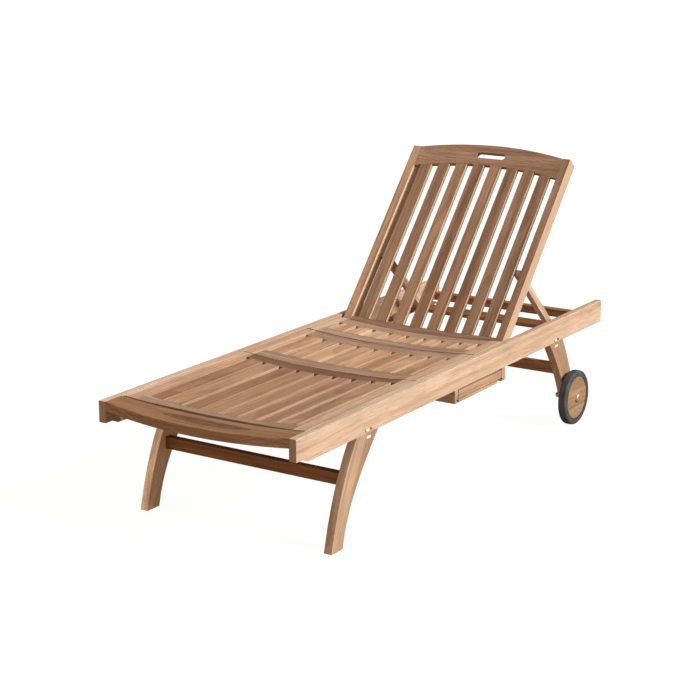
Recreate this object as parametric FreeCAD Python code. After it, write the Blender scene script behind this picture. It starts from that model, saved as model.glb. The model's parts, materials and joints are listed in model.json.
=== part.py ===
"""Reclining sun lounger in teak: frame, three lying panels, backrest with its stay, tray, wheels.

X runs across the lounger, Y from the foot end to the head end, Z up. Lengths along Y are written
from the foot end of the side rails and shifted by CENTRE_Y when a piece is saved, so that the
origin lies on the ground under the middle of the whole lounger.
"""
import FreeCAD
import Part

import math
import os

Vector = FreeCAD.Vector

# --- driving dimensions, mm and degrees ---
LENGTH = 1960.0
WIDTH = 700.0
TOP = 392.0                 # height of the rails' top
RAIL_T = 25.0
RAIL_DEPTH = 78.0
BOW = 22.0                  # the foot rail's bow beyond the rails
DISH = 14.0                 # hollow of the lying surface at the middle
BOARD = 28.0                # thickness of the panels' frame boards
ROUND = 2.0                 # softened long edges
SMALL_ROUND = 1.2
BACK_ANGLE = 48.9           # the backrest's slope as modelled
WHEEL_R = 97.0
AXLE_Y = 1692.0
PIN_GAP = 0.05              # radial clearance of turning pins
CLEAR = 0.5

CENTRE_Y = (LENGTH - BOW) / 2
OUTER = WIDTH / 2
INNER = OUTER - RAIL_T
RAIL_BOTTOM = TOP - RAIL_DEPTH

# panels of the lying surface
STILE_INNER = 279.3
STILE_OUTER = INNER - 2.0
SLAT_W = 51.0
SLAT_T = 15.0
SLATS = 8
SEAT_FRONT = 1047.5
SEAT_REAR = 1241.0
THIGH_FRONT = 684.0
THIGH_REAR = 1040.0
LEG_FRONT = 84.0
LEG_REAR = 679.0
FOOT_RAIL_D = 77.0
THIGH_AXIS = (1028.0, 378.0)
KNEE_AXIS = (681.5, 347.0)
PANEL_PIN_R = 4.0
BEARER_TOP = 361.0
BEARER_D = 20.0
BEARER_REAR = 1020.0

# backrest, built flat and then turned up about its pins
BACK_HALF = 314.4
BACK_STILE_W = 30.7
BACK_DEPTH = 43.0
BACK_SWELL = 3.0            # how much deeper the stiles are at the top
BACK_AXIS = (1277.0, TOP - BACK_DEPTH / 2)
BACK_START = 10.0           # distance from the pins to the foot of the slats' run
BACK_SLAT_W = 42.6
BACK_SLAT_T = 13.1
CREST_SIDE = 717.0
CREST_MID = 752.0
EAR = 715.0
ARCH_SIDE = 636.0
ARCH_MID = 669.0
CREST_T = 18.0
SLOT_LENGTH = 114.0
SLOT_HEIGHT = 23.0
SLOT_ROUND = 4.0            # rounded rear edge of the hand slot
SLOT_CENTRE = 708.0
BOTTOM_RAIL_TOP = 4.0
BOTTOM_RAIL_Y = 1250.0
BACK_PIN_R = 5.0

# stay
STAY_OUTER = 274.0
STAY_T = 22.0
STAY_W = 25.0
STAY_PIVOT_S = 265.0
STAY_PIVOT_DEPTH = 32.0
STAY_BAR = (1720.0, 335.0)
BAR_HALF = 302.0
BAR_END_R = 8.0
BAR_END = 320.0
BAR_END_DEPTH = 14.0
STAY_PIN_R = 4.0
STAY_RATIO = -1.757

# rack
RACK_STEPS = (16.0, 8.0, 0.0, -8.0, -16.0, -24.0, -32.0, -40.0, -48.9)
RACK_DROP = 7.0
RACK_T = 22.0
RACK_BOTTOM = 308.0
RACK_CLEAR = 0.8

# legs
LEG_T = 27.8
TONGUE_T = 11.0
TONGUE_H = 26.0
AXLE_R = 5.0

# tray
TRAY_Y = (904.0, 1190.0)
TRAY_LIP_REAR = 1165.0
TRAY_Z = (271.0, 309.0)
TRAY_INNER_X = -60.0
TRAY_SIDE = 10.0
TRAY_FLOOR = (276.0, 282.0)
RUNNER_FRONT = (881.0, 899.0)
RUNNER_REAR = (1193.0, 1217.0)
RUNNER_BOTTOM = 271.0
GROOVE_D = 6.5

SIDES = (("left", -1), ("right", 1))


# --- outlines and plain solids ---
def plan(x, y):
    """A point of an outline seen from above."""
    return Vector(x, y, 0)


def profile(y, z):
    """A point of an outline seen from the side."""
    return Vector(0, y, z)


def outline(place, start, *steps):
    """Closed wire: a step is a corner (a, b), an arc [mid, end] or a curve of three points or more."""
    edges = []
    here = place(*start)
    for step in steps + (start,):
        if isinstance(step, tuple):
            there = place(*step)
            if here.distanceToPoint(there) > 1e-6:
                edges.append(Part.LineSegment(here, there).toShape())
        elif len(step) == 2:
            there = place(*step[1])
            edges.append(Part.Arc(here, place(*step[0]), there).toShape())
        else:
            there = place(*step[-1])
            curve = Part.BSplineCurve()
            curve.interpolate([here] + [place(*point) for point in step])
            edges.append(curve.toShape())
        here = there
    return Part.Wire(edges)


def plate(wire, z0, z1):
    """A plan outline made solid between two heights."""
    solid = Part.Face(wire).extrude(Vector(0, 0, z1 - z0))
    solid.translate(Vector(0, 0, z0))
    return solid


def slab(wire, x0, x1):
    """A side outline made solid between two values of X."""
    solid = Part.Face(wire).extrude(Vector(x1 - x0, 0, 0))
    solid.translate(Vector(x0, 0, 0))
    return solid


def box(x, y, z):
    """A box from three (low, high) pairs."""
    return Part.makeBox(x[1] - x[0], y[1] - y[0], z[1] - z[0], Vector(x[0], y[0], z[0]))


def rod(radius, x0, x1, y, z):
    """A round bar along X."""
    low, high = sorted((x0, x1))
    return Part.makeCylinder(radius, high - low, Vector(low, y, z), Vector(1, 0, 0))


def tube(outer, inner, x0, x1, y, z):
    """A ring or washer along X."""
    return rod(outer, x0, x1, y, z).cut(rod(inner, x0, x1, y, z))


def oblong(size, x0, x1, y, z):
    """A bar along X whose section is a level slot with half-round ends; the size is (length, height)."""
    radius = size[1] / 2
    reach = size[0] / 2 - radius
    side = outline(profile, (y - reach, z - radius), (y + reach, z - radius),
                   [(y + reach + radius, z), (y + reach, z + radius)], (y - reach, z + radius),
                   [(y - reach - radius, z), (y - reach, z - radius)])
    return slab(side, x0, x1)


def softened(solid, radius, keep):
    """Round the edges that the test picks."""
    edges = [edge for edge in solid.Edges if keep(edge)]
    return solid.makeFillet(radius, edges)


def longer_than(length):
    """A test that picks an edge longer than the length."""
    return lambda edge: edge.Length > length


def upper_long(length, height):
    """A test that picks an edge longer than the length that lies wholly above the height."""
    return lambda edge: edge.Length > length and edge.BoundBox.ZMin > height


def mirrored(solid, side):
    """The piece for side 1, or its mirror image for side -1."""
    if side > 0:
        return solid.copy()
    return solid.mirror(Vector(0, 0, 0), Vector(1, 0, 0))


def group(solids):
    """Several separate solids of one node."""
    return Part.makeCompound(solids)


def save(name, shape):
    """Write one node, moved so that the origin is under the middle of the lounger."""
    placed = shape.copy()
    placed.translate(Vector(0, -CENTRE_Y, 0))
    placed.exportStep(f"parts/{name}.step")


def save_pair(name, solid):
    """Write a right-hand piece and its left-hand mirror image."""
    for label, side in SIDES:
        save(f"{name}_{label}", mirrored(solid, side))


# --- the dished surface ---
DISH_R = (INNER ** 2 + DISH ** 2) / (2 * DISH)


def dish_cylinder(drop):
    """The cylinder along Y whose lowest line is the dish, lowered by the drop."""
    height = TOP - DISH + DISH_R - drop
    return Part.makeCylinder(DISH_R, LENGTH * 2, Vector(0, -LENGTH / 2, height), Vector(0, 1, 0))


def dished(wire, thickness):
    """A plan outline made a board of even thickness under the dished surface."""
    blank = plate(wire, TOP - DISH - thickness - 2 * BOARD, TOP)
    under = dish_cylinder(thickness)
    return blank.cut(dish_cylinder(0)).common(under)


def across(front, front_bow, rear, rear_bow, half):
    """Plan outline of a board across the panel, its edges bowed towards the foot."""
    def at(edge, bow, x):
        return edge - bow * (1 - (x / half) ** 2)
    start = (-half, front)
    front_line = [(0, at(front, front_bow, 0)), (half, front)]
    rear_line = [(0, at(rear, rear_bow, 0)), (-half, rear)]
    steps = [front_line if front_bow else (half, front), (half, rear)]
    steps.append(rear_line if rear_bow else (-half, rear))
    return outline(plan, start, *steps)


def slat_edges(inner, width, count):
    """The (low, high) X values of evenly spread slats between two stiles."""
    gap = (2 * inner - count * width) / (count + 1)
    lows = [-inner + gap + index * (width + gap) for index in range(count)]
    return [(low, low + width) for low in lows]


def rectangle(x, y):
    """Plan outline of a rectangle."""
    return outline(plan, (x[0], y[0]), (x[1], y[0]), (x[1], y[1]), (x[0], y[1]))


def panel(name, outer, front_rail, rear_rail, pin_axis=None):
    """The stiles, rails and slats of one panel; rails are (front, bow, rear, bow)."""
    half = STILE_INNER
    front_solid = dished(across(*front_rail, half), BOARD)
    rear_solid = dished(across(*rear_rail, half), BOARD)
    stile = dished(rectangle((half, outer), (front_rail[0], rear_rail[2])), BOARD)
    if pin_axis:
        stile = stile.cut(rod(PANEL_PIN_R, half - 1, outer + 1, *pin_axis))
    save_pair(f"{name}_stile", softened(stile, ROUND, upper_long(100.0, TOP - DISH)))
    save(f"{name}_front_rail", softened(front_solid, ROUND, upper_long(300.0, TOP - DISH - 1)))
    save(f"{name}_rear_rail", softened(rear_solid, ROUND, upper_long(300.0, TOP - DISH - 1)))
    slats = []
    slat_start = front_rail[2] - front_rail[3] - 5
    for low, high in slat_edges(half, SLAT_W, SLATS):
        blank = dished(rectangle((low, high), (slat_start, rear_rail[0] + 1)), SLAT_T)
        cut = blank.cut(plate(across(*front_rail, half), 0, TOP))
        cut = cut.cut(plate(across(*rear_rail, half), 0, TOP))
        slats.append(softened(cut, ROUND, upper_long(60.0, TOP - DISH - 1)))
    save(f"{name}_slats", group(slats))
    return front_solid, rear_solid


# --- frame ---
def leg_outline(front, rear):
    """Side outline of a leg from its front and rear curves, both from the top down."""
    return outline(profile, front[0], front[1:], rear[-1], list(reversed(rear[:-1])))


FRONT_LEG = (
    [(310, RAIL_BOTTOM), (258, 231), (214, 133), (174, 0)],
    [(425, RAIL_BOTTOM), (322, 189), (268, 101), (234, 0)],
)
REAR_LEG = (
    [(1548, RAIL_BOTTOM), (1626, 203), (1674, 110), (1697, 22)],
    [(1649, RAIL_BOTTOM), (1706, 211), (1744, 110), (1762, 22)],
)
BOLTS_Y = (370.0, 1596.5)
BOLT_Z = 322.0
PEG_Z = 301.5
BOLT_RECESS = (39.0, 10.4)
RECESS_D = 5.5
BOLT_HEAD = (19.0, 9.0)
BOLT_R = 4.0
PEG = (23.0, 8.0)
PEG_D = 18.0
TONGUES = ((322.0, 413.0), (1560.0, 1637.0))
TONGUE_X = (INNER, INNER + TONGUE_T)


def tongue(span):
    """The part of a leg that is let into the rail."""
    return box(TONGUE_X, span, (RAIL_BOTTOM, RAIL_BOTTOM + TONGUE_H))


def side_rail():
    """A rail with its stepped foot end, the legs' sockets and the holes of bolts and pins."""
    nose = 12.0
    side = outline(profile, (0, TOP), (0, RAIL_BOTTOM + nose), (28, RAIL_BOTTOM + nose),
                   [(36, RAIL_BOTTOM + 10), (45, RAIL_BOTTOM + 6), (54, RAIL_BOTTOM + 2),
                    (62, RAIL_BOTTOM)], (LENGTH, RAIL_BOTTOM), (LENGTH, TOP))
    rail = softened(slab(side, INNER, OUTER), ROUND, longer_than(60.0))
    for span in TONGUES:
        rail = rail.cut(tongue(span))
    for bolt_y in BOLTS_Y:
        rail = rail.cut(oblong(BOLT_RECESS, OUTER - RECESS_D, OUTER + 1, bolt_y, BOLT_Z))
        rail = rail.cut(rod(BOLT_R, INNER, OUTER, bolt_y, BOLT_Z))
    rail = rail.cut(rod(PANEL_PIN_R + PIN_GAP, INNER - 1, INNER + 12.5, *THIGH_AXIS))
    return rail.cut(rod(BACK_PIN_R + PIN_GAP, INNER - 1, INNER + 14.5, *BACK_AXIS))


def leg(curves, span, bolt_y, axle):
    """A leg with its tongue, bolt hole, peg hole and, at the rear, the axle's hole."""
    solid = slab(leg_outline(*curves), OUTER - LEG_T, OUTER)
    solid = softened(solid, ROUND, longer_than(200.0))
    solid = solid.fuse(tongue(span)).removeSplitter()
    solid = solid.cut(rod(BOLT_R, INNER, OUTER, bolt_y, BOLT_Z))
    solid = solid.cut(oblong(PEG, OUTER - PEG_D, OUTER + 1, bolt_y + 1, PEG_Z))
    if axle:
        solid = solid.cut(rod(AXLE_R, INNER - 10, OUTER + 1, AXLE_Y, WHEEL_R))
    return solid


def cross_bar(y, z, half):
    """A straight bar across the lounger with softened long edges."""
    return softened(box((-half, half), y, z), ROUND, longer_than(300.0))


def frame():
    """Rails, legs, stretchers, bearers and racks."""
    save_pair("side_rail", side_rail())
    foot = dished(across(0, BOW, FOOT_RAIL_D, 0, INNER), BOARD + 1)
    save("foot_rail", softened(foot, ROUND, longer_than(300.0)))
    save("head_rail", cross_bar((1922, 1952), (315, 344), INNER))
    save_pair("front_leg", leg(FRONT_LEG, TONGUES[0], BOLTS_Y[0], False))
    save_pair("rear_leg", leg(REAR_LEG, TONGUES[1], BOLTS_Y[1], True))
    stretcher_half = OUTER - LEG_T
    save("front_stretcher", cross_bar((272, 297), (174, 212), stretcher_half))
    save("rear_stretcher", cross_bar((1647, 1672), (184, 222), stretcher_half))
    bearer = box((INNER - 22, INNER), (FOOT_RAIL_D, BEARER_REAR), (BEARER_TOP - BEARER_D, BEARER_TOP))
    save_pair("bearer", softened(bearer, ROUND, lambda e: e.Length > 300 and e.BoundBox.XMax < INNER - 1))
    bolts = []
    pegs = []
    for bolt_y in BOLTS_Y:
        head = oblong(BOLT_HEAD, OUTER - RECESS_D, OUTER - 1, bolt_y, BOLT_Z)
        head = softened(head, 1.0, lambda edge: edge.BoundBox.XMin > OUTER - 2)
        bolts.append(head.fuse(rod(BOLT_R, INNER + 1, OUTER - RECESS_D, bolt_y, BOLT_Z)))
        pegs.append(oblong(PEG, OUTER - PEG_D, OUTER + 0.4, bolt_y + 1, PEG_Z))
    pieces = [mirrored(solid, side) for solid in bolts + pegs for _, side in SIDES]
    save("frame_bolts", group(pieces))


# --- backrest and stay ---
def back_run(s):
    """Y of a place on the flat backrest, at a distance s up its slatted run."""
    return BACK_AXIS[0] + BACK_START + s


def turned(shape, angle, axis):
    """The shape turned about an axis along X, given as (y, z)."""
    copy = shape.copy()
    copy.rotate(Vector(0, axis[0], axis[1]), Vector(1, 0, 0), angle)
    return copy


def turned_point(point, angle, axis):
    """A (y, z) place turned about an axis along X."""
    turn = math.radians(angle)
    y = point[0] - axis[0]
    z = point[1] - axis[1]
    return (axis[0] + y * math.cos(turn) - z * math.sin(turn),
            axis[1] + y * math.sin(turn) + z * math.cos(turn))


STAY_PIVOT_FLAT = (back_run(STAY_PIVOT_S), TOP - STAY_PIVOT_DEPTH)
STAY_PIVOT = turned_point(STAY_PIVOT_FLAT, BACK_ANGLE, BACK_AXIS)
STAY_LENGTH = math.dist(STAY_PIVOT, STAY_BAR)
STAY_ANGLE = math.degrees(math.atan2(STAY_BAR[1] - STAY_PIVOT[1], STAY_BAR[0] - STAY_PIVOT[0]))


def bar_place(recline):
    """The stay bar's (y, z) when the backrest has turned by so many degrees from its modelled slope."""
    pivot = turned_point(STAY_PIVOT, recline, BACK_AXIS)
    angle = math.radians(STAY_ANGLE + recline * (1 + STAY_RATIO))
    return (pivot[0] + STAY_LENGTH * math.cos(angle), pivot[1] + STAY_LENGTH * math.sin(angle))


def crest_outline():
    """Plan outline of the top rail: an arched crest over an arched lower edge."""
    half = BACK_HALF - BACK_STILE_W
    return outline(plan, (-half, back_run(ARCH_SIDE)),
                   [(0, back_run(ARCH_MID)), (half, back_run(ARCH_SIDE))],
                   (half, back_run(CREST_SIDE)),
                   [(0, back_run(CREST_MID)), (-half, back_run(CREST_SIDE))])


def slot_outline():
    """Plan outline of the hand slot, with half-round ends."""
    reach = SLOT_LENGTH / 2 - SLOT_HEIGHT / 2
    low = back_run(SLOT_CENTRE) - SLOT_HEIGHT / 2
    high = low + SLOT_HEIGHT
    return outline(plan, (-reach, low), (reach, low),
                   [(SLOT_LENGTH / 2, low + SLOT_HEIGHT / 2), (reach, high)], (-reach, high),
                   [(-SLOT_LENGTH / 2, low + SLOT_HEIGHT / 2), (-reach, low)])


def slot_rear_edge(edge):
    """A test that picks the hand slot's edges on the rear face."""
    reach = SLOT_LENGTH / 2 + 1
    bounds = edge.BoundBox
    return max(-bounds.XMin, bounds.XMax) < reach and bounds.ZMax < TOP - DISH - CREST_T + 2


def back_stile():
    """A stile: round foot about the pins, an ear at the top, its front hollowed with the dish."""
    inner = BACK_HALF - BACK_STILE_W
    radius = BACK_DEPTH / 2
    axis_y, axis_z = BACK_AXIS
    top_y = back_run(CREST_SIDE)
    side = outline(profile, (axis_y, TOP), [(axis_y - radius, axis_z), (axis_y, TOP - BACK_DEPTH)],
                   (top_y, TOP - BACK_DEPTH - BACK_SWELL), (top_y, TOP))
    solid = slab(side, inner, BACK_HALF).cut(dish_cylinder(0))
    ear_cut = outline(plan, (inner, top_y), (BACK_HALF + 1, back_run(EAR)),
                      (BACK_HALF + 1, top_y + 1), (inner, top_y + 1))
    solid = solid.cut(plate(ear_cut, 0, TOP + 1))
    solid = softened(solid, ROUND, longer_than(400.0))
    solid = solid.cut(rod(BACK_PIN_R, inner + 10, BACK_HALF + 1, *BACK_AXIS))
    return solid.cut(rod(STAY_PIN_R, inner - 1, BACK_HALF - 10, *STAY_PIVOT_FLAT))


def back_slats():
    """Eight thin slats from the bottom rail to the arch of the top rail."""
    inner = BACK_HALF - BACK_STILE_W
    top_rail = plate(crest_outline(), 0, TOP + 1)
    slats = []
    for low, high in slat_edges(inner, BACK_SLAT_W, SLATS):
        blank = dished(rectangle((low, high), (back_run(BOTTOM_RAIL_TOP), back_run(ARCH_MID + 2))),
                       BACK_SLAT_T)
        cut = blank.cut(top_rail)
        slats.append(softened(cut, SMALL_ROUND, longer_than(300.0)))
    return slats


def backrest():
    """The reclining backrest, its pivot pins and washers, turned up to its slope."""
    inner = BACK_HALF - BACK_STILE_W
    top_rail = softened(dished(crest_outline(), CREST_T), ROUND, longer_than(300.0))
    top_rail = top_rail.cut(plate(slot_outline(), 0, TOP + 1))
    top_rail = softened(top_rail, SLOT_ROUND, slot_rear_edge)
    bottom = dished(rectangle((-inner, inner), (BOTTOM_RAIL_Y, back_run(BOTTOM_RAIL_TOP))), BOARD)
    bottom = softened(bottom, ROUND, longer_than(300.0))
    stile = back_stile()
    pins = [mirrored(rod(BACK_PIN_R, inner + 10, INNER + 13.5, *BACK_AXIS), side) for _, side in SIDES]
    washers = [tube(10.0, BACK_PIN_R, BACK_HALF, INNER - CLEAR, *BACK_AXIS),
               tube(8.0, STAY_PIN_R, STAY_OUTER + CLEAR, inner, *STAY_PIVOT_FLAT)]
    washers = [mirrored(solid, side) for solid in washers for _, side in SIDES]
    stay_pin = rod(STAY_PIN_R, STAY_OUTER - STAY_T - 2, BACK_HALF - 10, *STAY_PIVOT_FLAT)
    head_x = STAY_OUTER - STAY_T - CLEAR
    stay_pin = stay_pin.fuse(rod(STAY_PIN_R + 3, head_x - 4, head_x, *STAY_PIVOT_FLAT))
    stay_pins = [mirrored(stay_pin, side) for _, side in SIDES]
    pieces = {
        "back_stile_left": mirrored(stile, -1), "back_stile_right": stile,
        "back_top_rail": top_rail, "back_bottom_rail": bottom,
        "back_slats": group(back_slats()), "back_pins": group(pins),
        "pivot_washers": group(washers), "stay_pins": group(stay_pins),
    }
    for name, shape in pieces.items():
        save(name, turned(shape, BACK_ANGLE, BACK_AXIS))


def stay():
    """The U-shaped stay: two arms and a crossbar with a dowel in each end, in its propped position."""
    pivot_y, pivot_z = STAY_PIVOT
    half = STAY_W / 2
    end = STAY_LENGTH - half
    x = (STAY_OUTER - STAY_T, STAY_OUTER)
    side = outline(profile, (pivot_y, pivot_z + half), [(pivot_y - half, pivot_z), (pivot_y, pivot_z - half)],
                   (pivot_y + end, pivot_z - half), (pivot_y + end, pivot_z + half))
    arm = softened(slab(side, *x), ROUND, longer_than(200.0))
    arm = arm.cut(rod(STAY_PIN_R + PIN_GAP, x[0] - 1, x[1] + 1, pivot_y, pivot_z))
    save_pair("stay_arm", turned(arm, STAY_ANGLE, STAY_PIVOT))
    bar_y = pivot_y + STAY_LENGTH
    bar = box((-BAR_HALF, BAR_HALF), (bar_y - half, bar_y + half), (pivot_z - half, pivot_z + half))
    bar = softened(bar, ROUND, longer_than(300.0))
    dowel = rod(BAR_END_R, BAR_HALF - BAR_END_DEPTH, BAR_END, bar_y, pivot_z)
    dowels = group([mirrored(dowel, side) for _, side in SIDES])
    save("stay_crossbar", turned(bar.cut(dowels), STAY_ANGLE, STAY_PIVOT))
    save("stay_bar_ends", turned(dowels, STAY_ANGLE, STAY_PIVOT))


def rack():
    """A toothed batten: a notch under each place of the stay bar, its tips just below the bar's path."""
    places = [bar_place(step) for step in RACK_STEPS]
    clear = BAR_END_R + RACK_CLEAR
    points = []
    for first, second in zip(RACK_STEPS, RACK_STEPS[1:]):
        notch = bar_place(first)
        tip = bar_place((first + second) / 2)
        points.append((notch[0], notch[1] - clear - RACK_DROP))
        points.append((tip[0], tip[1] - clear))
    last = places[-1]
    points.append((last[0], last[1] - clear - RACK_DROP))
    lead = 18.0
    start = (places[0][0] - lead, places[0][1] - clear - 2)
    finish = (last[0] + lead, last[1] - clear - RACK_DROP + 1)
    side = outline(profile, start, *points, finish, (finish[0], RACK_BOTTOM), (start[0], RACK_BOTTOM))
    solid = slab(side, INNER - RACK_T, INNER)
    leg_top = (REAR_LEG[0][0][0] - 1, REAR_LEG[1][0][0] + 8)
    solid = solid.cut(box((OUTER - LEG_T, INNER + 1), leg_top, (RACK_BOTTOM - 1, RAIL_BOTTOM)))
    save_pair("rack", solid)


# --- lying panels ---
def knee_hinges(leg_rail, thigh_rail):
    """Two hinges under the knee: a leaf on each panel's rail, with knuckles about one pin."""
    axis_y, axis_z = KNEE_AXIS
    knuckle = 4.0
    leg_side = []
    thigh_side = []
    for middle in (-100.0, 100.0):
        x = (middle - 20, middle + 20)
        centre = (middle - 8, middle + 8)
        bore = rod(2.0 + PIN_GAP, x[0] - 1, x[1] + 1, axis_y, axis_z)
        leaf = box(x, (axis_y - 36, axis_y - 4.6), (axis_z - 1.5, axis_z + 7)).cut(leg_rail)
        leaf = max(leaf.Solids, key=lambda solid: solid.Volume)
        link = box(centre, (axis_y - 6, axis_y), (axis_z - 1.5, axis_z + 1.5))
        hub = rod(knuckle, *centre, axis_y, axis_z)
        pin = rod(2.0, *x, axis_y, axis_z)
        leg_side.append(leaf.fuse([link, hub, pin]).removeSplitter())
        other = box(x, (axis_y + 4.6, axis_y + 36), (axis_z - 1.5, axis_z + 7)).cut(thigh_rail)
        other = max(other.Solids, key=lambda solid: solid.Volume)
        ears = []
        for ear in ((x[0], centre[0] - CLEAR), (centre[1] + CLEAR, x[1])):
            ears.append(rod(knuckle, *ear, axis_y, axis_z))
            ears.append(box(ear, (axis_y, axis_y + 6), (axis_z - 1.5, axis_z + 1.5)))
        thigh_side.append(other.fuse(ears).removeSplitter().cut(bore))
    save("knee_hinge_leg", group(leg_side))
    save("knee_hinge_thigh", group(thigh_side))


def panels():
    """Leg panel, thigh panel and fixed seat panel, with their hinges."""
    _, leg_rail = panel("leg", STILE_OUTER, (LEG_FRONT, -13, 133, 8), (640, 17, LEG_REAR, 0))
    thigh_rail, _ = panel("thigh", STILE_OUTER, (THIGH_FRONT, 0, 745, 0), (979, 4, THIGH_REAR, 4),
                          THIGH_AXIS)
    panel("seat", INNER, (SEAT_FRONT, 4, 1100, 4), (1185, 4, SEAT_REAR, 11))
    pins = [mirrored(rod(PANEL_PIN_R, STILE_INNER, INNER + 11.5, *THIGH_AXIS), side) for _, side in SIDES]
    save("thigh_pins", group(pins))
    knee_hinges(leg_rail, thigh_rail)


# --- tray ---
def tray_runner(y, groove_side):
    """A bar under the rails, grooved on the side that faces the tray."""
    bar = box((-OUTER, OUTER), y, (RUNNER_BOTTOM, RAIL_BOTTOM))
    low = (y[1] - GROOVE_D, y[1] + 1) if groove_side > 0 else (y[0] - 1, y[0] + GROOVE_D)
    return bar.cut(box((-OUTER - 1, OUTER + 1), low, (TRAY_FLOOR[0] - CLEAR, TRAY_FLOOR[1] + CLEAR)))


def tray():
    """The side tray: a floor that runs in the runners' grooves, with four walls on it."""
    save("tray_runner_front", tray_runner(RUNNER_FRONT, 1))
    save("tray_runner_rear", tray_runner(RUNNER_REAR, -1))
    front_x = OUTER - 18.0
    front = box((front_x, OUTER), TRAY_Y, TRAY_Z)
    front = front.cut(box((OUTER - 3, OUTER + 1), (0, LENGTH), (281, 283)))
    front = front.cut(box((front_x - 1, OUTER + 1), (TRAY_LIP_REAR, LENGTH), (0, 281)))
    save("tray_front", front)
    floor_y = (RUNNER_FRONT[1] - GROOVE_D + CLEAR, RUNNER_REAR[0] + GROOVE_D - CLEAR)
    save("tray_floor", box((TRAY_INNER_X, front_x), floor_y, TRAY_FLOOR))
    wall_z = (TRAY_FLOOR[1], TRAY_Z[1] - 4)
    side_y = (TRAY_Y[0], TRAY_Y[0] + TRAY_SIDE)
    save("tray_side_front", box((TRAY_INNER_X, front_x), side_y, wall_z))
    side_y = (TRAY_Y[1] - TRAY_SIDE, TRAY_Y[1])
    save("tray_side_rear", box((TRAY_INNER_X, front_x), side_y, wall_z))
    back_y = (TRAY_Y[0] + TRAY_SIDE, TRAY_Y[1] - TRAY_SIDE)
    save("tray_back", box((TRAY_INNER_X, TRAY_INNER_X + TRAY_SIDE), back_y, wall_z))


# --- wheels ---
TYRE_X = (362.0, 392.0)
DISC_R = 76.5
DISC_X = (364.0, 391.0)
CAP_R = 14.0
CAP_X = (391.3, 399.5)


def wheels():
    """Rubber tyre on a wooden disc, turning on a bolt through the leg."""
    place = (AXLE_Y, WHEEL_R)
    tyre = softened(rod(WHEEL_R, *TYRE_X, *place), 7.0, longer_than(WHEEL_R))
    tyre = tyre.cut(rod(DISC_R, TYRE_X[0] - 1, TYRE_X[1] + 1, *place))
    save_pair("wheel_tyre", tyre)
    disc = rod(DISC_R, *DISC_X, *place)
    outer_rim = [edge for edge in disc.Edges if edge.BoundBox.XMin > DISC_X[1] - 1]
    disc = disc.makeChamfer(3.0, outer_rim).cut(rod(AXLE_R + PIN_GAP, 0, OUTER * 2, *place))
    save_pair("wheel_disc", disc)
    cap = rod(CAP_R, *CAP_X, *place)
    cap = softened(cap, 3.0, lambda edge: edge.BoundBox.XMin > CAP_X[1] - 1)
    bolt = rod(AXLE_R, 309.0, CAP_X[1] - 3, *place)
    groups = {
        "axle_bolts": bolt,
        "hub_caps": cap.cut(bolt),
        "axle_spacers": tube(11.0, AXLE_R, OUTER, TYRE_X[0] + 1.5, *place),
        "axle_nuts": tube(9.0, AXLE_R, 312.0, OUTER - LEG_T, *place),
    }
    for name, solid in groups.items():
        save(name, group([mirrored(solid, side) for _, side in SIDES]))


os.makedirs("parts", exist_ok=True)
frame()
panels()
backrest()
stay()
rack()
tray()
wheels()
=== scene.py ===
"""Reclining sun lounger in oiled teak, on a pale studio floor."""
import json
import math
import random

import bpy
import numpy as np
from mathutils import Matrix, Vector


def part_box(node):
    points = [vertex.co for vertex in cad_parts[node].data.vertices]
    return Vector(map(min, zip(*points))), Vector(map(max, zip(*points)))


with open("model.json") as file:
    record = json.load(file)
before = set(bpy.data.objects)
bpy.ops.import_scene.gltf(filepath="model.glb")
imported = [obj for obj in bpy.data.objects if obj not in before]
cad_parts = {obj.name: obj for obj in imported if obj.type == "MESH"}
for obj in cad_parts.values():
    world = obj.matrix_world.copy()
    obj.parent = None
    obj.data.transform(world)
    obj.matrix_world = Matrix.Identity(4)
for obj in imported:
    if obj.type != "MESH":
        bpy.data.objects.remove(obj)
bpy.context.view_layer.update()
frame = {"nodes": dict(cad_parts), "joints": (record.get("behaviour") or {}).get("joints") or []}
NODES = frame["nodes"]
JOINTS = {joint["name"]: joint for joint in frame["joints"]}

# --- places worked out from the frame, metres and degrees ---
BACK_ANGLE = 48.9                                   # slope of the raised backrest
STAY_SLOPE = -42.8                                  # slope of the propped stay
BACK_AXIS = Vector(JOINTS["back_recline"]["pos_m"])
STAY_AXIS = Vector(JOINTS["stay_swing"]["pos_m"])


# --- shader maths ---
class Number:
    """A number that changes over the surface; arithmetic on it adds Math nodes."""

    def __init__(self, finish, socket):
        self.finish = finish
        self.socket = socket

    def math(self, operation, *others):
        """One Math node with this number as its first value."""
        values = (self, *others)
        return self.finish.add("ShaderNodeMath", {"operation": operation}, dict(enumerate(values)))

    def __add__(self, other):
        return self.math("ADD", other)

    def __radd__(self, other):
        return self.math("ADD", other)

    def __sub__(self, other):
        return self.math("SUBTRACT", other)

    def __rsub__(self, other):
        return self.math("MULTIPLY_ADD", -1.0, other)

    def __mul__(self, other):
        return self.math("MULTIPLY", other)

    def __rmul__(self, other):
        return self.math("MULTIPLY", other)

    def __truediv__(self, other):
        return self.math("DIVIDE", other)

    def __pow__(self, other):
        return self.math("POWER", other)

    def step(self, low, high):
        """0 below low, 1 above high, with a smooth rise between."""
        sockets = {"Value": self, "From Min": low, "From Max": high}
        return self.finish.add("ShaderNodeMapRange", {"interpolation_type": "SMOOTHSTEP"}, sockets)


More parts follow.
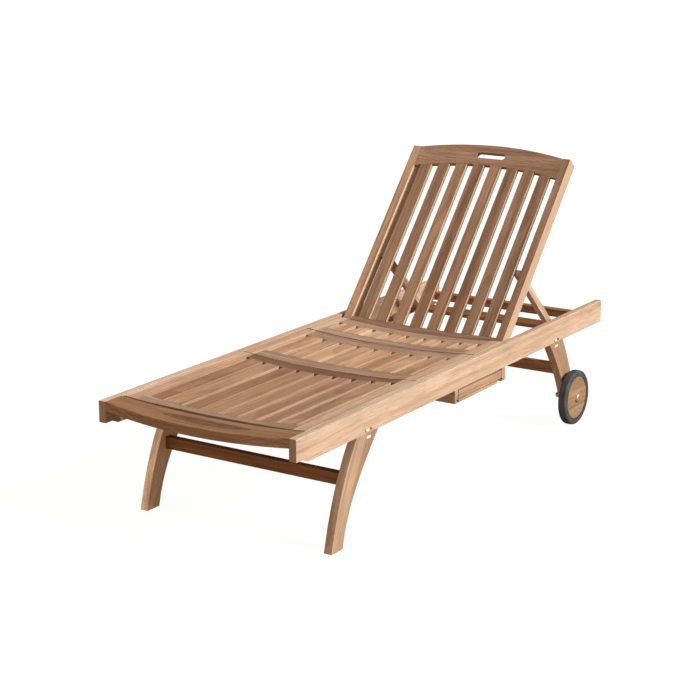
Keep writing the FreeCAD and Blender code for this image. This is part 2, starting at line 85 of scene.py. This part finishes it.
class Finish:
    """One material, or the world, while it is being written."""

    def __init__(self, name, world=None):
        self.owner = world or bpy.data.materials.new(name)
        self.owner.use_nodes = True
        self.tree = self.owner.node_tree
        self.tree.nodes.clear()

    def add(self, kind, settings, sockets, out=0):
        """A node: its settings first, then the values or links of its sockets; gives one output."""
        node = self.tree.nodes.new(kind)
        for name, value in settings.items():
            if name == "stops":
                self.set_stops(node.color_ramp, value)
            else:
                setattr(node, name, value)
        for key, value in sockets.items():
            if isinstance(value, Number):
                self.tree.links.new(value.socket, node.inputs[key])
            else:
                node.inputs[key].default_value = value
        return Number(self, node.outputs[out])

    def set_stops(self, ramp, stops):
        """Stops of a ramp as (place, grey or colour)."""
        while len(ramp.elements) < len(stops):
            ramp.elements.new(1.0)
        for element, (place, shade) in zip(ramp.elements, stops):
            element.position = place
            element.color = (shade, shade, shade, 1) if isinstance(shade, float) else (*shade, 1)

    def mix(self, blend, factor, first, second):
        """Two colours mixed."""
        settings = {"data_type": "RGBA", "blend_type": blend}
        first = first if isinstance(first, Number) else (*first, 1)
        second = second if isinstance(second, Number) else (*second, 1)
        return self.add("ShaderNodeMix", settings, {0: factor, 6: first, 7: second}, 2)

    def ramp(self, value, stops, interpolation="LINEAR"):
        """A grey or colour ramp of a number."""
        node = self.add("ShaderNodeValToRGB", {"stops": stops}, {"Fac": value})
        node.socket.node.color_ramp.interpolation = interpolation
        return node

    def vector(self, x, y, z):
        """Three numbers joined."""
        return self.add("ShaderNodeCombineXYZ", {}, {0: x, 1: y, 2: z})

    def split(self, vector):
        """The three numbers of a vector."""
        first = self.add("ShaderNodeSeparateXYZ", {}, {0: vector})
        return [Number(self, output) for output in first.socket.node.outputs]

    def noise(self, place, detail=2.0, roughness=0.5, scale=1.0):
        """Smooth noise from about 0 to 1."""
        sockets = {"Vector": place, "Scale": scale, "Detail": detail, "Roughness": roughness}
        return self.add("ShaderNodeTexNoise", {}, sockets)

    def bump(self, height, distance, strength=1.0):
        """A surface normal from a height in units of the distance."""
        sockets = {"Height": height, "Distance": distance, "Strength": strength}
        return self.add("ShaderNodeBump", {}, sockets)


def finished(finish, shader_sockets):
    """Close a material with its principled surface."""
    shader = finish.add("ShaderNodeBsdfPrincipled", {}, shader_sockets)
    output = finish.tree.nodes.new("ShaderNodeOutputMaterial")
    finish.tree.links.new(shader.socket, output.inputs["Surface"])
    return finish.owner


# --- teak ---
PALE = (0.620, 0.415, 0.270)        # linear colours of the wood
GOLD = (0.490, 0.285, 0.165)
ROSE = (0.330, 0.150, 0.080)
BROWN = (0.200, 0.090, 0.045)
PAINTED_HIGHLIGHT = (0.600, 0.410, 0.280)       # painted highlight: a paler wood colour that stands in for light on the slats' and stiles' lit sides
END_GRAIN = (0.230, 0.135, 0.080)
RING = 0.0065                       # metres between growth rings
PITH = (0.02, -0.05)                # the rings' centre as (across, through), metres
SIDE_EDGE = (0.0012, 0.0004)        # metres from a corner to where a side's painted highlight starts and is full
END_EDGE = (0.0012, 0.0003)
WOOD_SPECULAR = 0.22
LATE_WOOD = [(0.0, 0.0), (0.55, 0.10), (0.88, 1.0), (0.95, 0.7), (1.0, 0.0)]    # over one ring
FIBRE_SHADE = [(0.28, 0.70), (0.72, 1.20)]                          # brightness over the noise
MOTTLE_SHADE = [(0.3, 0.86), (0.72, 1.12)]

# how finely each pattern changes, per metre: along the grain, then across it
SWAY = (1.6, 3.0)
RIPPLE = (7.0, 22.0)
BAND = (0.9, 30.0)
STREAK = (2.2, 120.0)
MOTTLE = (5.0, 14.0)
FIBRE = (14.0, 480.0)
PORE = (55.0, 1300.0)


class Grain:
    """Places in a board, in metres: along the grain, across the face and through the board."""

    def __init__(self, finish, along, across, through):
        self.finish = finish
        self.along = along
        self.across = across
        self.through = through

    def noise(self, fineness, detail, roughness=0.5):
        """Noise drawn out along the grain."""
        slow, fast = fineness
        place = self.finish.vector(self.along * slow, self.across * fast, self.through * fast)
        return self.finish.noise(place, detail, roughness)

    def late_wood(self, pith, seed):
        """The dark part of each ring. The rings are circles about the pith, swayed by slow noise."""
        sway = self.noise(SWAY, 2.0) - 0.5
        ripple = self.noise(RIPPLE, 1.0) - 0.5
        side = self.across - pith[0] + sway * 0.05
        deep = self.through - pith[1] + sway * 0.03
        radius = (side * side + deep * deep).math("SQRT") + ripple * 0.004 + self.along * 0.004
        uneven = self.finish.noise(self.finish.vector(radius * 45.0, seed * 1.7, 0.0), 1.0) - 0.5
        ring = (radius / RING + uneven * 1.6).math("FRACT")
        return self.finish.ramp(ring, LATE_WOOD)

    def into_slats(self, x, seed, first, pitch, width, tones):
        """Give each slat of a row its own stretch of grain; gives its tone and the mask of its sides,
        where painted highlight goes.
        """
        which = ((x - first) / pitch).math("FLOOR")
        stops = [(index / len(tones), float(value)) for index, value in enumerate(tones)]
        tone = self.finish.ramp((which + 0.5) / len(tones), stops, "CONSTANT")
        toss = self.finish.add("ShaderNodeTexWhiteNoise", {"noise_dimensions": "1D"},
                               {"W": which + seed}, "Color")
        shifts = self.finish.split(toss)
        middle = self.across - which * pitch - first - pitch / 2
        # the slats' sides, which get painted highlight
        highlight_sides = middle.math("ABSOLUTE").step(width / 2 - SIDE_EDGE[0], width / 2 - SIDE_EDGE[1])
        self.along = self.along + shifts[0] * 7.0
        self.across = middle + (shifts[1] - 0.5) * 0.05
        self.through = self.through + shifts[2] * 0.04
        return tone, highlight_sides


def almond(parts, mottle, place_x, place_y, length, width):
    """How dark an almond-shaped figure of nested lines is; length and width are halves."""
    bend = (mottle - 0.5) * 0.5
    reach = ((parts["x"] - place_x) / length) ** 2.0 + ((parts["y"] - place_y) / width) ** 2.0 + bend
    lines = (reach * 2.6).math("FRACT").math("PINGPONG", 0.5) * 2.0
    return reach.step(1.1, 0.9) * (lines * 0.6 + 0.35)


def teak(name, axes, seed, tint, figure=1.0, turn=None, spread=None, pith=PITH,
         end=None, pale_side=None, lens=None, fresh_share=0.6):
    """Oiled teak cut from one log or several.

    The colour is a pale wood darkened at each ring's end, with reddish streaks, fibres and pores.
    axes names which of x, y, z runs along the grain, across the face and through the board.
    figure is the strength of rings and streaks, turn the (place, degrees about X) of a sloping board.
    spread is the (first edge, pitch, width, tones) of a row of slats, end the y of an end-grain face,
    pale_side the x of a side that gets painted highlight and lens the (x, y, half length, half width) of
    an almond.
    fresh_share is how strongly the painted highlight shows on the slats' sides or on that side.
    """
    chance = random.Random(seed)
    f = Finish(name)
    spot = f.add("ShaderNodeTexCoord", {}, {}, "Object")
    if turn:
        place, degrees = turn
        sockets = {"Vector": spot, "Location": place, "Rotation": (math.radians(degrees), 0, 0)}
        spot = f.add("ShaderNodeMapping", {"vector_type": "TEXTURE"}, sockets)
    parts = dict(zip("xyz", f.split(spot)))
    grain = Grain(f, *(parts[axis] for axis in axes))
    if spread:
        tone, fresh = grain.into_slats(parts["x"], seed, *spread)
    # a stile's right side, which gets painted highlight
    if pale_side:
        fresh = parts["x"].step(pale_side - SIDE_EDGE[0], pale_side - SIDE_EDGE[1])
    if end:
        cut = grain.along.step(end + END_EDGE[0], end + END_EDGE[1])
    grain.along = grain.along + chance.uniform(0, 9)
    late = grain.late_wood(pith, seed)
    band = grain.noise(BAND, 3.0, 0.6)
    streak = grain.noise(STREAK, 3.0, 0.62)
    mottle = grain.noise(MOTTLE, 3.0)
    fibre = grain.noise(FIBRE, 3.0, 0.65)
    pore = grain.noise(PORE, 1.0).step(0.60, 0.74)
    color = f.mix("MIX", band.step(0.36, 0.66), PALE, GOLD)
    color = f.mix("MIX", streak.step(0.44, 0.74) * (0.70 * figure), color, ROSE)
    color = f.mix("MIX", late * (0.10 + mottle * 0.42) * figure, color, BROWN)
    color = f.mix("MULTIPLY", 1.0, color, f.ramp(fibre, FIBRE_SHADE))
    color = f.mix("MIX", pore * 0.45, color, BROWN)
    color = f.mix("MULTIPLY", 1.0, color, f.ramp(mottle, MOTTLE_SHADE))
    if spread:
        color = f.mix("MULTIPLY", 1.0, color, f.vector(tone, tone, tone))
    if lens:
        color = f.mix("MIX", almond(parts, mottle, *lens), color, BROWN)
    color = f.mix("MULTIPLY", 1.0, color, tint)
    if spread or pale_side:
        # painted highlight: a paler colour on the slats' sides or a stile's right side, standing in for
        # light falling there
        color = f.mix("MIX", fresh * fresh_share, color, PAINTED_HIGHLIGHT)
    if end:
        color = f.mix("MIX", cut * 0.85, color, END_GRAIN)
    rough = 0.46 + band * 0.14 + fibre * 0.10
    relief = fibre * 0.6 + late * 0.25 - pore * 0.8
    sockets = {"Base Color": color, "Roughness": rough, "Specular IOR Level": WOOD_SPECULAR,
               "Normal": f.bump(relief, 0.0004, 0.6)}
    return finished(f, sockets)


# --- metal and rubber ---
BRASS = (0.90, 0.72, 0.50)          # linear colours
BOLT_METAL = (0.92, 0.82, 0.64)
STEEL = (0.33, 0.33, 0.34)
RUBBER = (0.036, 0.041, 0.044)
DUST = (0.105, 0.119, 0.122)
DULLING = 0.62                      # how dark a dull patch of metal is beside a polished one
PATCH_SCALE = 160.0                 # per metre
SCRATCH_SCALE = 900.0
DUST_SCALE = 28.0


def metal(name, color, roughness, wear, metallic=1.0):
    """Metal with fine scratches and patches where the polish has gone dull."""
    f = Finish(name)
    spot = f.add("ShaderNodeTexCoord", {}, {}, "Object")
    patch = f.noise(spot, 3.0, 0.6, PATCH_SCALE)
    scratch = f.noise(spot, 4.0, 0.8, SCRATCH_SCALE)
    dull = [channel * DULLING for channel in color]
    sockets = {"Base Color": f.mix("MIX", patch.step(0.45, 0.75) * wear, color, dull),
               "Metallic": metallic,
               "Roughness": roughness + patch * 0.16 + scratch * 0.08,
               "Normal": f.bump(scratch, 0.00008, 0.5)}
    return finished(f, sockets)


def tyre_rubber():
    """Black rubber, dusty in patches, with a fine grain."""
    f = Finish("tyre_rubber")
    spot = f.add("ShaderNodeTexCoord", {}, {}, "Object")
    dust = f.noise(spot, 3.0, 0.6, DUST_SCALE)
    grain = f.noise(spot, 3.0, 0.7, SCRATCH_SCALE)
    color = f.mix("MIX", dust.step(0.42, 0.8) * 0.55, RUBBER, DUST)
    sockets = {"Base Color": color, "Roughness": 0.62 + dust * 0.2, "Specular IOR Level": 0.45,
               "Normal": f.bump(grain, 0.0002, 0.6)}
    return finished(f, sockets)


# --- which finish each piece gets ---
BACK_TURN = (BACK_AXIS, BACK_ANGLE)
TINTS = {                           # how each part's wood differs from the rest, with painted light and shade in some parts
    "rail": (0.95, 1.03, 1.13), "bearer": (0.70, 0.60, 0.52), "rack": (0.62, 0.52, 0.42),
    # leg_left is painted light: a far paler tint that stands in for the light on the left front leg's
    # front
    "leg_right": (0.72, 0.73, 0.73), "leg_left": (1.55, 1.78, 1.88), "foot": (0.50, 0.41, 0.31),
    # stretcher is painted shade: a dark, red tint that stands in for the shade under the deck
    "stretcher": (0.37, 0.22, 0.09), "head": (0.60, 0.46, 0.35), "stile": (0.96, 1.02, 1.08),
    "cross": (0.67, 0.66, 0.71), "knee": (0.34, 0.27, 0.23), "crest": (0.66, 0.63, 0.63),
    "leg_slats": (0.65, 0.59, 0.55), "thigh_slats": (0.84, 0.80, 0.75), "seat_slats": (0.99, 0.98, 0.95),
    # back_stile_left is paler than back_stile_right as painted light on its shaded side
    "back_slats": (0.59, 0.54, 0.50), "back_stile_left": (0.78, 0.73, 0.69),
    "back_stile_right": (0.62, 0.58, 0.56), "stay": (1.08, 1.24, 1.42), "tray": (0.81, 0.83, 0.83),
    "disc": (0.58, 0.57, 0.53),
}
RAIL_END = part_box("side_rail_right")[0].y
RAIL_PITH = (0.33, 0.30)            # its z and x, just inside the right rail
FOOT_LENS = (0.02, -0.938, 0.155, 0.021)                            # x, y, half length, half width
LEG_LEAN = 0.8                      # the grain's lean as a share of the lean of the leg's box
PANEL_SLAT = 0.051                  # widths of the slats, metres
BACK_SLAT = 0.0426
PANEL_HIGHLIGHT = 0.15                  # how strongly the painted highlight shows on the sides
# how strongly the painted highlight shows on the backrest's sides, and on the left stile's shaded inner
# side
BACK_HIGHLIGHT = 0.6
LEFT_STILE_HIGHLIGHT = 0.9
SLAT_TONES = {
    "leg_slats": (0.92, 1.04, 0.88, 1.02, 0.95, 1.10, 0.90, 1.04),
    "thigh_slats": (1.02, 0.90, 1.06, 0.94, 1.04, 0.90, 1.05, 0.96),
    "seat_slats": (0.94, 1.04, 0.92, 1.05, 0.95, 1.04, 0.90, 1.02),
    "back_slats": (0.92, 0.88, 1.12, 0.92, 1.08, 0.86, 0.94, 0.92),
}


def put(node, material):
    """Give a piece of the lounger its finish."""
    NODES[node].data.materials.clear()
    NODES[node].data.materials.append(material)


def put_teak(node, axes, seed, part, **layout):
    """Give a piece its own teak, tinted for its part."""
    put(node, teak(node, axes, seed, TINTS[part], **layout))


def put_leg(node, seed, part):
    """Teak whose grain runs down a sloping leg."""
    low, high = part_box(node)
    lean = math.degrees(math.atan2(high.y - low.y, high.z - low.z)) * LEG_LEAN
    if node.startswith("front"):
        lean = -lean
    middle = (0, (low.y + high.y) / 2, (low.z + high.z) / 2)
    put_teak(node, "zyx", seed, part, figure=0.6, turn=(middle, lean))


def put_slats(node, seed, width, fresh_share, turn=None):
    """Teak for a row of slats, each with its own pattern and tone."""
    low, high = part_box(node)
    tones = SLAT_TONES[node]
    pitch = (high.x - low.x - width) / (len(tones) - 1)
    first = low.x - (pitch - width) / 2
    put_teak(node, "yxz", seed, node, turn=turn, spread=(first, pitch, width, tones),
             fresh_share=fresh_share)


def finish_frame():
    """Rails, legs, stretchers, bearers, racks and runners."""
    for number, side in enumerate(("left", "right")):
        put_teak(f"side_rail_{side}", "yzx", 11 + number, "rail", figure=0.35, pith=RAIL_PITH,
                 end=RAIL_END)
        put_teak(f"bearer_{side}", "yzx", 21 + number, "bearer")
        put_teak(f"rack_{side}", "yzx", 31 + number, "rack")
        put_leg(f"front_leg_{side}", 41 + number, f"leg_{side}")
        put_leg(f"rear_leg_{side}", 51 + number, "leg_right")
    put_teak("foot_rail", "xyz", 60, "foot", lens=FOOT_LENS)
    bars = (("head_rail", "head"), ("front_stretcher", "stretcher"), ("rear_stretcher", "head"),
            ("tray_runner_front", "tray"), ("tray_runner_rear", "tray"))
    for number, (node, part) in enumerate(bars):
        put_teak(node, "xyz", 61 + number, part)


def finish_panels():
    """Seat, thigh and leg panels."""
    for number, name in enumerate(("seat", "thigh", "leg")):
        for place, side in enumerate(("left", "right")):
            put_teak(f"{name}_stile_{side}", "yxz", 101 + 10 * number + place, "stile")
        for place, end in enumerate(("front", "rear")):
            node = f"{name}_{end}_rail"
            part = "knee" if node == "leg_rear_rail" else "cross"
            put_teak(node, "xyz", 131 + 10 * number + place, part)
        put_slats(f"{name}_slats", 161 + number, PANEL_SLAT, PANEL_HIGHLIGHT)


def finish_back():
    """The backrest and its stay."""
    stiles = (("back_stile_left", LEFT_STILE_HIGHLIGHT), ("back_stile_right", BACK_HIGHLIGHT))
    for number, (node, share) in enumerate(stiles):
        # each stile's right side gets painted highlight
        right_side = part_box(node)[1].x
        put_teak(node, "yzx", 201 + number, node, turn=BACK_TURN, pale_side=right_side,
                 fresh_share=share)
    for number, node in enumerate(("back_top_rail", "back_bottom_rail")):
        put_teak(node, "xyz", 211 + number, "crest", turn=BACK_TURN)
    put_slats("back_slats", 221, BACK_SLAT, BACK_HIGHLIGHT, turn=BACK_TURN)
    for number, node in enumerate(("stay_arm_left", "stay_arm_right")):
        put_teak(node, "yzx", 231 + number, "stay", turn=(STAY_AXIS, STAY_SLOPE))
    put_teak("stay_crossbar", "xyz", 235, "head")
    put_teak("stay_bar_ends", "xyz", 236, "head")


def finish_tray():
    """The side tray."""
    put_teak("tray_front", "yzx", 241, "tray")
    put_teak("tray_back", "yzx", 242, "tray")
    put_teak("tray_floor", "xyz", 243, "tray")
    put_teak("tray_side_front", "xzy", 244, "tray")
    put_teak("tray_side_rear", "xzy", 245, "tray")


def finish_wheels():
    """Discs, tyres and metal."""
    rubber = tyre_rubber()
    for number, side in enumerate(("left", "right")):
        put(f"wheel_tyre_{side}", rubber)
        put_teak(f"wheel_disc_{side}", "yzx", 251 + number, "disc", figure=0.5)
    put("hub_caps", metal("cap_brass", BRASS, 0.34, 0.5))
    put("frame_bolts", metal("bolt_metal", BOLT_METAL, 0.45, 0.3, metallic=0.35))
    steel = metal("steel", STEEL, 0.36, 0.6)
    for node in ("axle_bolts", "axle_nuts", "axle_spacers", "back_pins", "pivot_washers", "stay_pins",
                 "thigh_pins", "knee_hinge_leg", "knee_hinge_thigh"):
        put(node, steel)


# --- stage, light and camera ---
FLOOR_REACH = 60.0
FLOOR_COLOR = (0.07, 0.07, 0.07, 1)
FLOOR_GLOW = 0.95
SKY = [(0.0, (0.17, 0.085, 0.045)), (0.44, (0.28, 0.17, 0.10)), (0.53, (0.44, 0.38, 0.33)),
       (0.75, (0.38, 0.36, 0.34)), (1.0, (0.34, 0.34, 0.34))]      # from straight down to straight up
FRONT_GLOW = (0.80, 0.68, 0.56)     # extra light from the foot end
FRONT = Vector((-0.30, -0.95, -0.05))                               # where it comes from
KEY_POWER = 5.0
KEY_WIDTH = 20.0                    # degrees
KEY_RISE = 31.6                     # degrees above the floor
KEY_SWING = 10.0                    # degrees from the right towards the head end
KEY_COLOR = (1.0, 0.985, 0.965)
EYE = (2.905, -4.681, 1.847)
EYE_TURN = (75.06, 0.0, 32.68)      # degrees
LENS = 89.64
SENSOR = 36.0


def floor():
    """A wide level floor under the feet, white by its own glow, so that shadows on it are faint."""
    signs = np.array([[-1, -1, 0], [1, -1, 0], [1, 1, 0], [-1, 1, 0]])
    corners = signs * FLOOR_REACH
    mesh = bpy.data.meshes.new("floor")
    mesh.from_pydata(corners.tolist(), [], [(0, 1, 2, 3)])
    ground = bpy.data.objects.new("floor", mesh)
    bpy.context.scene.collection.objects.link(ground)
    f = Finish("floor_white")
    finished(f, {"Base Color": FLOOR_COLOR, "Roughness": 0.9,
                 "Emission Color": (1, 1, 1, 1), "Emission Strength": FLOOR_GLOW})
    mesh.materials.append(f.owner)
    ground.visible_diffuse = False
    ground.visible_glossy = False


def sky():
    """Soft light from all round: pale above, dim and warm below, with a glow from the foot end."""
    world = bpy.data.worlds.new("studio")
    bpy.context.scene.world = world
    f = Finish("studio", world)
    place = f.add("ShaderNodeTexCoord", {}, {}, "Generated")
    height = f.split(place)[2] * 0.5 + 0.5
    facing = f.add("ShaderNodeVectorMath", {"operation": "DOT_PRODUCT"}, {0: place, 1: FRONT}, "Value")
    glow = facing.math("MAXIMUM", 0.0) ** 2.0
    color = f.mix("ADD", glow, f.ramp(height, SKY), FRONT_GLOW)
    light = f.add("ShaderNodeBackground", {}, {"Color": color})
    output = f.tree.nodes.new("ShaderNodeOutputWorld")
    f.tree.links.new(light.socket, output.inputs["Surface"])


def key_light():
    """A broad soft light from the right, a little above."""
    lamp = bpy.data.lights.new("key", "SUN")
    lamp.energy = KEY_POWER
    lamp.angle = math.radians(KEY_WIDTH)
    lamp.color = KEY_COLOR
    source = bpy.data.objects.new("key", lamp)
    bpy.context.scene.collection.objects.link(source)
    rise = math.radians(KEY_RISE)
    swing = math.radians(KEY_SWING)
    towards = Vector((math.cos(rise) * math.cos(swing), math.cos(rise) * math.sin(swing), math.sin(rise)))
    source.rotation_euler = towards.to_track_quat("Z", "Y").to_euler()


def camera():
    """The view from the foot end's right, a little above."""
    eye = bpy.data.cameras.new("camera")
    eye.lens = LENS
    eye.sensor_width = SENSOR
    holder = bpy.data.objects.new("camera", eye)
    bpy.context.scene.collection.objects.link(holder)
    holder.location = EYE
    holder.rotation_euler = [math.radians(angle) for angle in EYE_TURN]
    bpy.context.scene.camera = holder


finish_frame()
finish_panels()
finish_back()
finish_tray()
finish_wheels()
floor()
sky()
key_light()
camera()
bpy.context.scene.view_settings.view_transform = "Standard"
